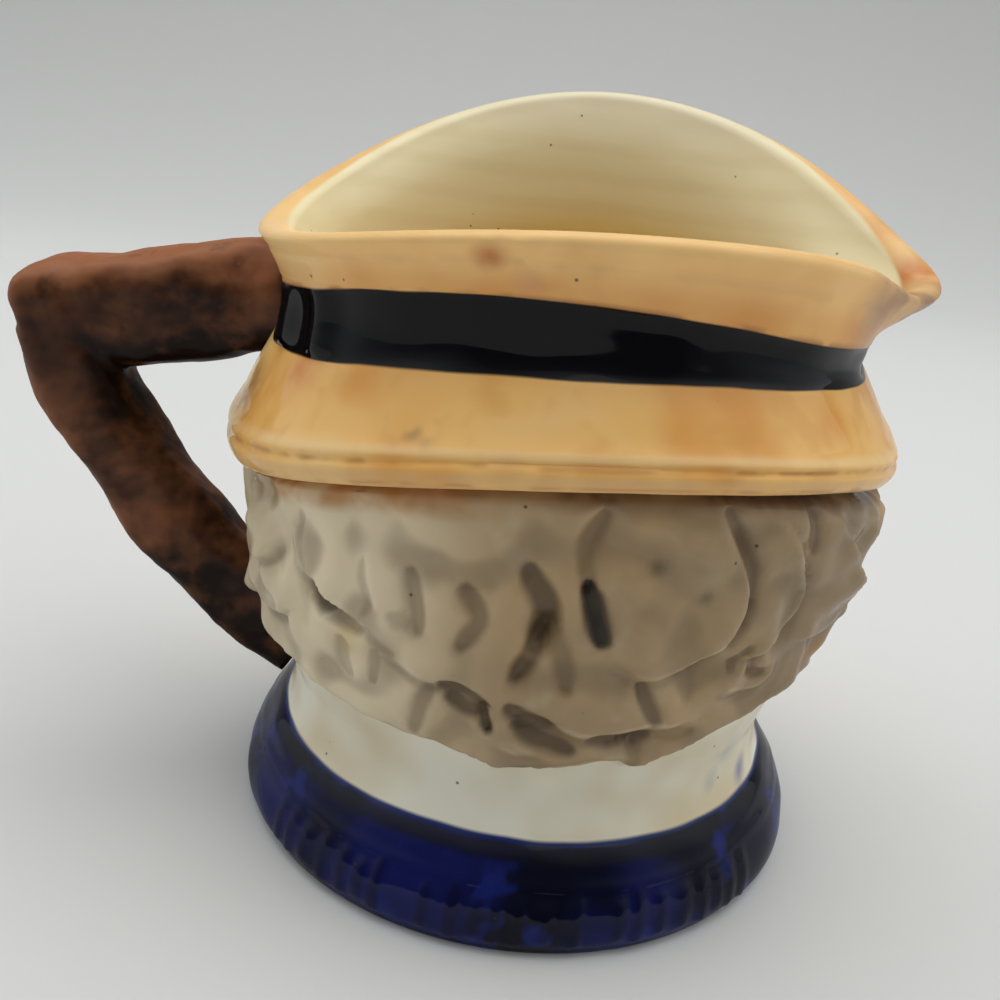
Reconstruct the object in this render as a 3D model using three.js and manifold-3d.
import * as THREE from 'three';
import { mergeVertices } from 'three/addons/utils/BufferGeometryUtils.js';
import Module from 'manifold-3d';

// A small slip-cast toby jug, seen from behind the head in the photograph.
// Lengths are in millimetres and angles in degrees, turned from +X towards +Y.
// The spout points along +X, the handle along -X and the face along +Y. +Z is up.

// Driving sizes of the round body
const FOOT_RADIUS = 32.6;
const RING_RADIUS = 33;
const COLLAR_RADIUS = 27.6;
const SCALP_RADIUS = 31.8;
const BRIM_RADIUS = 36.2;
const BAND_RADIUS = 30.7;
const LIP_RADIUS = 32.9;
const FLOOR_THICKNESS = 5;

// Levels are heights up the wall, before the head and the hat are swept up
const RING_TOP = 10.4;
const COLLAR_TOP = 16;
const BRIM_UNDERSIDE = 44.7;
const BAND_BOTTOM = 55.4;
const BAND_TOP = 60.2;
const LIP_LEVEL = 66.6;
const LIP_TOP = 67.4;

// How each ring of the hat leaves its level: it rises towards the face, rises at the face
// and at the back alike, tilts up towards the spout, and droops again under the spout
const SWEEP_STARTS = 15;
const HAT_SWEEPS = [
  { level: BRIM_UNDERSIDE, towardsFace: 5.4, frontAndBack: 8.4, tilt: 6, droop: 2.6 },
  { level: BAND_BOTTOM, towardsFace: 5.2, frontAndBack: 5.8, tilt: 3.4, droop: 1.2 },
  { level: BAND_TOP, towardsFace: 6.2, frontAndBack: 8, tilt: 0, droop: 0.5 },
  { level: LIP_TOP, towardsFace: 7, frontAndBack: 7.1, tilt: 3.9, droop: 4.8 },
];
const DROOP_CENTRE = -8;
const DROOP_WIDTH = 24;

// The spout is a corner pulled out of the lip
const SPOUT_PULL = 7.8;
const SPOUT_ROUNDING = 7;

// Hair
const HAIR_THICKNESS = 1.1;
const HEAD_SHIFT = 0.6;
const HEAD_LEAN = 0.16;
const HEAD_LEAN_LEVEL = 36;
const HAIRLINE_LOWEST = 18;
const HAIRLINE_HIGHEST = 25;
const HAIRLINE_CENTRE = 266;
const HAIRLINE_CURVE = 17;
const FACE_CENTRE = 90;
const FACE_HALF_ANGLE = 50;

// The face's features, by height on the front of the jug
const EYE_HEIGHT = 42;
const EYE_SPACING = 9.6;
const BROW_HEIGHT = 47.6;
const NOSE_TOP = 45.5;
const NOSE_BASE = 31;
const NOSE_DEPTH = 6.4;
const MOUTH_HEIGHT = 25;
const CHIN_HEIGHT = 17.6;

// Facets round the outside and the inside, crowded towards the face and the back of the head
const OUTSIDE_STEPS = 98;
const CAVITY_STEPS = 48;
const CROWDING = 0.12;
const FLAT_TOLERANCE = 0.02;

const radians = THREE.MathUtils.degToRad;
const degrees = THREE.MathUtils.radToDeg;
const smoothstep = THREE.MathUtils.smoothstep;
const lerp = THREE.MathUtils.lerp;

function ramp(value, low, high) {
  return THREE.MathUtils.clamp((value - low) / (high - low), 0, 1);
}

function angleBetween(angle, centre) {
  return THREE.MathUtils.euclideanModulo(angle - centre + 180, 360) - 180;
}

function bell(across, along, widthAcross, widthAlong) {
  return Math.exp(-((across / widthAcross) ** 2) - (along / widthAlong) ** 2);
}

// The outside's outline, from the underside's centre up to the top of the lip, with the
// number of rows of facets that each of its stretches gets
function outsideOutline() {
  const outline = new THREE.Path();
  outline.moveTo(0, 0);
  outline.lineTo(FOOT_RADIUS - 0.9, 0);
  outline.lineTo(FOOT_RADIUS, 1.6);
  outline.quadraticCurveTo(RING_RADIUS, 4.4, RING_RADIUS - 2.4, 7.4);
  outline.quadraticCurveTo(30.2, 9, 28.3, RING_TOP);
  outline.quadraticCurveTo(COLLAR_RADIUS - 0.3, 12.6, COLLAR_RADIUS, COLLAR_TOP);
  outline.quadraticCurveTo(28.3, 19, 30, 23.5);
  outline.quadraticCurveTo(SCALP_RADIUS, 29, SCALP_RADIUS, 36);
  outline.lineTo(SCALP_RADIUS, BRIM_UNDERSIDE);
  outline.lineTo(BRIM_RADIUS - 1.2, BRIM_UNDERSIDE + 0.3);
  outline.quadraticCurveTo(BRIM_RADIUS + 0.5, BRIM_UNDERSIDE + 2.2, BRIM_RADIUS - 1.6, 49.4);
  outline.quadraticCurveTo(33, 52.4, BAND_RADIUS + 0.4, BAND_BOTTOM);
  outline.quadraticCurveTo(BAND_RADIUS - 0.4, 57.6, BAND_RADIUS + 0.1, BAND_TOP);
  outline.quadraticCurveTo(31.4, 63, LIP_RADIUS, LIP_LEVEL - 0.4);
  outline.quadraticCurveTo(LIP_RADIUS, LIP_TOP, LIP_RADIUS - 1.4, LIP_TOP);
  outline.lineTo(0, LIP_TOP);
  return spaced(outline, [1, 1, 2, 2, 2, 6, 8, 5, 1, 3, 2, 2, 2, 2, 1]);
}

// The inside's outline, from the floor's centre up past the lip
function cavityOutline() {
  const outline = new THREE.Path();
  outline.moveTo(0, FLOOR_THICKNESS);
  outline.lineTo(17, FLOOR_THICKNESS + 0.4);
  outline.quadraticCurveTo(22, FLOOR_THICKNESS + 0.8, 23, 9.4);
  outline.quadraticCurveTo(23.4, 12, 24.4, 16.5);
  outline.quadraticCurveTo(28.6, 28, SCALP_RADIUS - 2.6, 42);
  outline.lineTo(30.2, 49);
  outline.quadraticCurveTo(27.8, 53.4, BAND_RADIUS - 3.3, BAND_BOTTOM + 1);
  outline.lineTo(BAND_RADIUS - 3.3, BAND_TOP);
  outline.quadraticCurveTo(27.8, 63, LIP_RADIUS - 3.6, LIP_LEVEL - 0.6);
  outline.lineTo(LIP_RADIUS - 3.1, LIP_TOP - 0.5);
  outline.lineTo(LIP_RADIUS - 2.9, LIP_TOP + 6);
  outline.lineTo(0, LIP_TOP + 6);
  return spaced(outline, [1, 2, 1, 3, 1, 1, 1, 1, 1, 1, 1]);
}

function spaced(outline, rows) {
  return outline.curves.flatMap(
    (curve, index) => curve.getSpacedPoints(rows[index]).slice(index === 0 ? 0 : 1),
  );
}

// A sweep's value at a level, between the rings on either side of it
function sweepAt(level, name) {
  const above = HAT_SWEEPS.findIndex((ring) => ring.level >= level);
  if (above === 0) {
    return HAT_SWEEPS[0][name];
  }
  if (above === -1) {
    return HAT_SWEEPS.at(-1)[name];
  }
  const [lower, upper] = [HAT_SWEEPS[above - 1], HAT_SWEEPS[above]];
  return lerp(lower[name], upper[name], ramp(level, lower.level, upper.level));
}

function lift(level, angle, radius) {
  const share = smoothstep(level, SWEEP_STARTS, BRIM_UNDERSIDE);
  if (radius === 0 || share === 0) {
    return 0;
  }
  const towardsFace = Math.sin(radians(angle));
  const tip = Math.tan(radians(sweepAt(level, 'tilt'))) * radius * Math.cos(radians(angle));
  const front = sweepAt(level, 'towardsFace') * towardsFace;
  const frontAndBack = sweepAt(level, 'frontAndBack') * towardsFace ** 2;
  const droop = sweepAt(level, 'droop') * bell(angleBetween(angle, DROOP_CENTRE), 0, DROOP_WIDTH, 1);
  return share * (front + frontAndBack + tip - droop);
}

function spoutRadius(radius, level, angle) {
  const pull = SPOUT_PULL * smoothstep(level, BAND_TOP - 1.6, LIP_LEVEL - 0.4);
  if (pull === 0 || radius === 0) {
    return radius;
  }
  const half = degrees(Math.acos(radius / (radius + pull)));
  const away = Math.hypot(angleBetween(angle, 0), SPOUT_ROUNDING);
  return away < half ? radius / Math.cos(radians(half - away)) : radius;
}

// A bent stroke over the hair, in millimetres round the head and up the wall
function stroke(from, through, to, halfWidth, depth) {
  const [start, middle, end] = [from, through, to].map(
    ([angle, level]) => new THREE.Vector2(radians(angle) * SCALP_RADIUS, level),
  );
  const control = middle.clone().multiplyScalar(2).sub(start.clone().add(end).multiplyScalar(0.5));
  const points = new THREE.QuadraticBezierCurve(start, control, end).getPoints(10);
  return { points, halfWidth, depth };
}

function strokeStrength(mark, around, level, taper) {
  let best = 1;
  mark.points.forEach((point, index) => {
    const along = index / (mark.points.length - 1);
    const width = mark.halfWidth * (1 - taper * (2 * along - 1) ** 2);
    best = Math.min(best, Math.hypot(around - point.x, level - point.y) / width);
  });
  return 1 - best * best;
}

// Locks of hair that show in the photograph, as start, middle, end, half width and height
const BACK_LOCKS = [
  stroke([304, 43], [310, 37.5], [302, 31.5], 2.4, 1.5),
  stroke([316, 43], [327, 36.5], [312, 29.5], 2.9, 1.5),
  stroke([332, 42], [337, 35], [323, 28], 2.8, 1.3),
  stroke([274, 40], [273.5, 34.5], [280, 29.5], 2.5, 1.2),
  stroke([265, 41], [266, 34.5], [263, 28.5], 2.3, 1),
  stroke([256, 41], [256, 34.5], [257, 28.5], 2.2, 1),
  stroke([247, 41], [246, 34.5], [249, 27.5], 2.3, 1),
  stroke([236, 42], [239, 37], [243, 32], 2.4, 1.1),
  stroke([226, 42], [229, 36], [237, 29], 2.8, 1.3),
  stroke([217, 41], [219, 34], [230, 25.5], 2.6, 1.2),
  stroke([294, 30.5], [303, 28.5], [314, 27], 2.6, 1.1),
  stroke([270, 27.5], [280, 26.5], [290, 26.5], 2.2, 1),
  stroke([268, 21], [282, 21.3], [297, 23], 1.6, 1),
  stroke([240, 25], [250, 22.5], [262, 21], 2.4, 1),
  stroke([254, 24], [260, 23], [268, 23.4], 2.2, 1),
];

// Gouges between the locks
const BACK_GOUGES = [
  stroke([279.6, 42.4], [276.8, 38], [280.8, 32.4], 1.5, 1.5),
  stroke([296, 43], [300.4, 38.9], [301, 34.2], 1.2, 1.1),
  stroke([268.8, 38.4], [271.9, 35.1], [269, 30], 1.4, 1.4),
  stroke([272, 35], [274.5, 31.6], [277, 28.8], 0.9, 0.7),
  stroke([250.2, 36.8], [251.2, 34.6], [252.7, 32.4], 1.2, 1.1),
  stroke([259.8, 35.8], [263, 33.6], [260, 31.3], 1.2, 1.2),
  stroke([233.6, 33.4], [236, 33.8], [239, 33.4], 1.4, 1.2),
  stroke([228, 40], [235, 34.6], [248, 27.4], 1, 0.8),
  stroke([253.2, 26.4], [251.8, 24.2], [250.8, 21.8], 1.3, 1.1),
  stroke([258.5, 26.6], [263.6, 27.2], [265.4, 23.8], 1.2, 1.3),
  stroke([268.8, 26.2], [270.4, 23], [281, 22.9], 1.2, 1.3),
  stroke([284, 23.2], [286, 23.4], [288.6, 23.5], 1.1, 0.9),
  stroke([293, 23.4], [296, 23.6], [299, 24], 1.1, 0.8),
  stroke([288, 28.8], [290, 27.2], [291.6, 25.6], 0.9, 0.9),
  stroke([304.6, 32], [303.4, 31], [303.6, 29.7], 0.8, 0.8),
  stroke([310.4, 32], [308, 30.4], [310, 28.8], 0.9, 0.9),
];

// Plainer wavy locks round the two sides that the photograph doesn't show
function sideLocks() {
  const locks = [];
  const spacing = 9.5;
  for (let index = 0; index < 7; index += 1) {
    const sway = index % 2 === 0 ? 3 : -3;
    const left = 208 - index * spacing;
    const right = 343 + index * spacing;
    locks.push(stroke([left, 43], [left - sway, 35], [left + 2, 27], 2.7, 1.3));
    locks.push(stroke([right, 43], [right + sway, 35], [right - 2, 27], 2.7, 1.3));
  }
  return locks;
}

const LOCKS = [...BACK_LOCKS, ...sideLocks()];
const CURL = { angle: 289, level: 36.8, halfWidth: 6.8, halfHeight: 7.1, height: 1.6 };

function hairRelief(level, angle) {
  const turned = THREE.MathUtils.euclideanModulo(angle - FACE_CENTRE, 360) + FACE_CENTRE;
  const around = radians(turned) * SCALP_RADIUS;
  let raised = 0;
  LOCKS.forEach((lock) => {
    const strength = strokeStrength(lock, around, level, 0.35);
    raised = Math.max(raised, lock.depth * strength);
  });
  const across = (around - radians(CURL.angle) * SCALP_RADIUS) / CURL.halfWidth;
  const up = (level - CURL.level) / CURL.halfHeight;
  const dome = Math.sqrt(Math.max(1 - across * across - up * up, 0));
  raised = Math.max(raised, CURL.height * dome);
  BACK_GOUGES.forEach((gouge) => {
    const strength = Math.max(strokeStrength(gouge, around, level, 0.4), 0);
    raised -= gouge.depth * strength;
  });
  return raised;
}

function hairline(angle) {
  const rise = HAIRLINE_CURVE * (1 - Math.cos(radians(angle - HAIRLINE_CENTRE)));
  return Math.min(HAIRLINE_LOWEST + rise, HAIRLINE_HIGHEST);
}

function nose(side, height) {
  const down = ramp(height, NOSE_TOP, NOSE_BASE);
  const halfWidth = lerp(2.4, 4.4, down);
  const bridge = Math.max(1 - (side / halfWidth) ** 2, 0) * lerp(1.2, NOSE_DEPTH, down);
  const ends = smoothstep(height, NOSE_BASE - 1.8, NOSE_BASE + 0.6)
    * (1 - smoothstep(height, NOSE_TOP, NOSE_TOP + 4));
  return bridge * ends + 2.2 * bell(side - 3.9, height - NOSE_BASE - 1, 1.8, 1.8);
}

function eye(side, height) {
  const across = side - EYE_SPACING;
  const up = height - EYE_HEIGHT;
  const socket = -2.1 * bell(across, up - 0.6, 5.2, 3.6);
  const ball = 1.9 * Math.sqrt(Math.max(1 - (across / 3.9) ** 2 - (up / 2.4) ** 2, 0));
  const lidHeight = 2.7 - 0.13 * across * across;
  const lid = Math.abs(across) < 4.6 ? 0.8 * bell(0, up - lidHeight, 1, 0.8) : 0;
  return socket + ball + lid;
}

function mouth(side, height) {
  const upper = bell(side / 6.6, height - MOUTH_HEIGHT - 1.2, 1, 1.1) * 1.3;
  const lower = bell(side / 5.4, height - MOUTH_HEIGHT + 1.5, 1, 1.3) * 1.7;
  const parting = bell(side / 7, height - MOUTH_HEIGHT, 1, 0.6) * 1.2;
  return upper + lower - parting;
}

function faceRelief(side, height) {
  const browHeight = BROW_HEIGHT - 0.035 * (side - EYE_SPACING) ** 2;
  const brow = 1.6 * bell(side / 15, height - browHeight, 1, 1.8);
  const cheek = 2 * bell(side - 13.5, height - 31.5, 6.5, 6);
  const chin = 3.4 * bell(side, height - CHIN_HEIGHT, 8.5, 4.2);
  const jaw = 1.2 * bell(side / 20, height - 24, 1, 9);
  return nose(side, height) + eye(side, height) + mouth(side, height) + brow + cheek + chin + jaw;
}

function headRelief(radius, level, angle, height) {
  const underBrim = 1 - smoothstep(level, BRIM_UNDERSIDE - 1.4, BRIM_UNDERSIDE - 0.2);
  const fromFace = Math.abs(angleBetween(angle, FACE_CENTRE));
  const hairShare = smoothstep(fromFace, FACE_HALF_ANGLE, FACE_HALF_ANGLE + 4);
  const low = hairline(angle);
  const hairTop = smoothstep(level, low - 0.8, low + 0.8);
  const hair = hairTop * (HAIR_THICKNESS + hairRelief(level, angle)) * (0.25 + 0.75 * underBrim);
  const faceShare = (1 - smoothstep(fromFace, FACE_HALF_ANGLE - 14, FACE_HALF_ANGLE)) * underBrim;
  const side = Math.abs(radius * Math.cos(radians(angle)));
  const face = faceShare > 0 ? faceShare * faceRelief(side, height) : 0;
  const toSpout = Math.cos(radians(angle));
  const lean = HEAD_LEAN * (level - HEAD_LEAN_LEVEL) * Math.max(toSpout, 0);
  const shift = (HEAD_SHIFT * toSpout + lean) * smoothstep(level, low - 2, low + 4);
  return hair * hairShare + face + shift * underBrim;
}

// Folds where the band is gathered beside the handle, and the bump of the mould's seam
function hatRelief(level, angle) {
  const inBand = smoothstep(level, BAND_BOTTOM, BAND_BOTTOM + 1)
    * (1 - smoothstep(level, BAND_TOP - 0.5, BAND_TOP + 0.5));
  const folds = bell(angleBetween(angle, 208), 0, 8, 1) + bell(angleBetween(angle, 226), 0, 6, 1);
  const seam = bell(angleBetween(angle, 262), level - 64, 2.4, 3);
  return 0.9 * inBand * folds + 0.5 * seam;
}

function outerRelief(radius, level, angle, height) {
  if (level > COLLAR_TOP - 6 && level < BRIM_UNDERSIDE) {
    return headRelief(radius, level, angle, height);
  }
  return level > BAND_BOTTOM ? hatRelief(level, angle) : 0;
}

function manifoldFrom(wasm, geometry) {
  geometry.deleteAttribute('normal');
  geometry.deleteAttribute('uv');
  const merged = mergeVertices(geometry, 0.0001);
  return new wasm.Manifold(new wasm.Mesh({
    numProp: 3,
    vertProperties: new Float32Array(merged.attributes.position.array),
    triVerts: new Uint32Array(merged.index.array),
  }));
}

// A turned form whose rows are lifted, pulled out to the spout and given their relief
function shapedLathe(wasm, points, turnSteps, reliefAt) {
  const geometry = new THREE.LatheGeometry(points, turnSteps);
  const position = geometry.attributes.position;
  for (let index = 0; index < position.count; index += 1) {
    const point = points[index % points.length];
    const turn = (2 * Math.PI * (Math.floor(index / points.length) % turnSteps)) / turnSteps;
    const angle = degrees(turn + CROWDING * Math.sin(2 * turn));
    const height = point.y + lift(point.y, angle, point.x);
    const radius = spoutRadius(point.x, point.y, angle);
    const reach = point.x === 0 ? 0 : radius + reliefAt(radius, point.y, angle, height);
    const direction = radians(angle);
    position.setXYZ(index, reach * Math.cos(direction), reach * Math.sin(direction), height);
  }
  return manifoldFrom(wasm, geometry);
}

// The handle is a bent branch: each station gives x, z, half height and half depth
const UPPER_ARM = [
  [-29.6, 55.3, 6.2, 5.4],
  [-35, 54.8, 6.2, 5.3],
  [-41, 53.7, 6.7, 5.4],
  [-47, 52.2, 6.5, 5.1],
  [-52.5, 51.5, 6.3, 5],
  [-57, 51.2, 6.2, 5.3],
  [-60, 50.2, 5.2, 4.8],
  [-61.3, 49.6, 3.2, 3],
];
const LOWER_ARM = [
  [-56.4, 50, 5.2, 4.8],
  [-54.8, 44.2, 5.5, 5.2],
  [-51.3, 38.2, 5.2, 5.1],
  [-47.1, 32.2, 5.2, 4.9],
  [-42.6, 26.8, 5.5, 5],
  [-37.4, 22, 5, 4.8],
  [-32, 17.4, 5.2, 4.7],
  [-26.8, 14.6, 5, 4.6],
];
const BRANCH_SIDES = 12;
const BRANCH_STEPS = 14;
const BRANCH_SQUARENESS = 0.8;

function branch(wasm, stations) {
  const centre = new THREE.CatmullRomCurve3(stations.map(([x, z]) => new THREE.Vector3(x, 0, z)));
  const girth = new THREE.CatmullRomCurve3(
    stations.map(([, , high, deep]) => new THREE.Vector3(high, deep, 0)),
  );
  const geometry = new THREE.CylinderGeometry(1, 1, 1, BRANCH_SIDES, BRANCH_STEPS);
  const position = geometry.attributes.position;
  for (let index = 0; index < position.count; index += 1) {
    const along = 0.5 - position.getY(index);
    const turn = Math.atan2(position.getZ(index), position.getX(index));
    const share = Math.hypot(position.getX(index), position.getZ(index));
    const knot = 1 + 0.05 * Math.sin(3 * turn + 9 * along) * Math.sin(14 * along);
    const high = Math.sign(Math.cos(turn)) * Math.abs(Math.cos(turn)) ** BRANCH_SQUARENESS;
    const deep = Math.sign(Math.sin(turn)) * Math.abs(Math.sin(turn)) ** BRANCH_SQUARENESS;
    const middle = centre.getPoint(along);
    const tangent = centre.getTangent(along);
    const size = girth.getPoint(along);
    const across = share * knot * size.x * high;
    position.setXYZ(
      index,
      middle.x + tangent.z * across,
      share * knot * size.y * deep,
      middle.z - tangent.x * across,
    );
  }
  return manifoldFrom(wasm, geometry);
}

function geometryFrom(solid) {
  const mesh = solid.getMesh();
  const geometry = new THREE.BufferGeometry();
  geometry.setAttribute('position', new THREE.BufferAttribute(mesh.vertProperties, 3));
  geometry.setIndex(new THREE.BufferAttribute(mesh.triVerts, 1));
  geometry.computeVertexNormals();
  return geometry;
}

const wasm = await Module();
wasm.setup();

const outside = shapedLathe(wasm, outsideOutline(), OUTSIDE_STEPS, outerRelief);
const cavity = shapedLathe(wasm, cavityOutline(), CAVITY_STEPS, () => 0);
const jug = outside.subtract(cavity)
  .add(branch(wasm, UPPER_ARM))
  .add(branch(wasm, LOWER_ARM))
  .simplify(FLAT_TOLERANCE);

const glaze = new THREE.MeshStandardMaterial({ color: 0xd6b07c, roughness: 0.2, metalness: 0 });
const jugMesh = new THREE.Mesh(geometryFrom(jug), glaze);
jugMesh.name = 'jug';

const group = new THREE.Group();
group.add(jugMesh);

export default group;
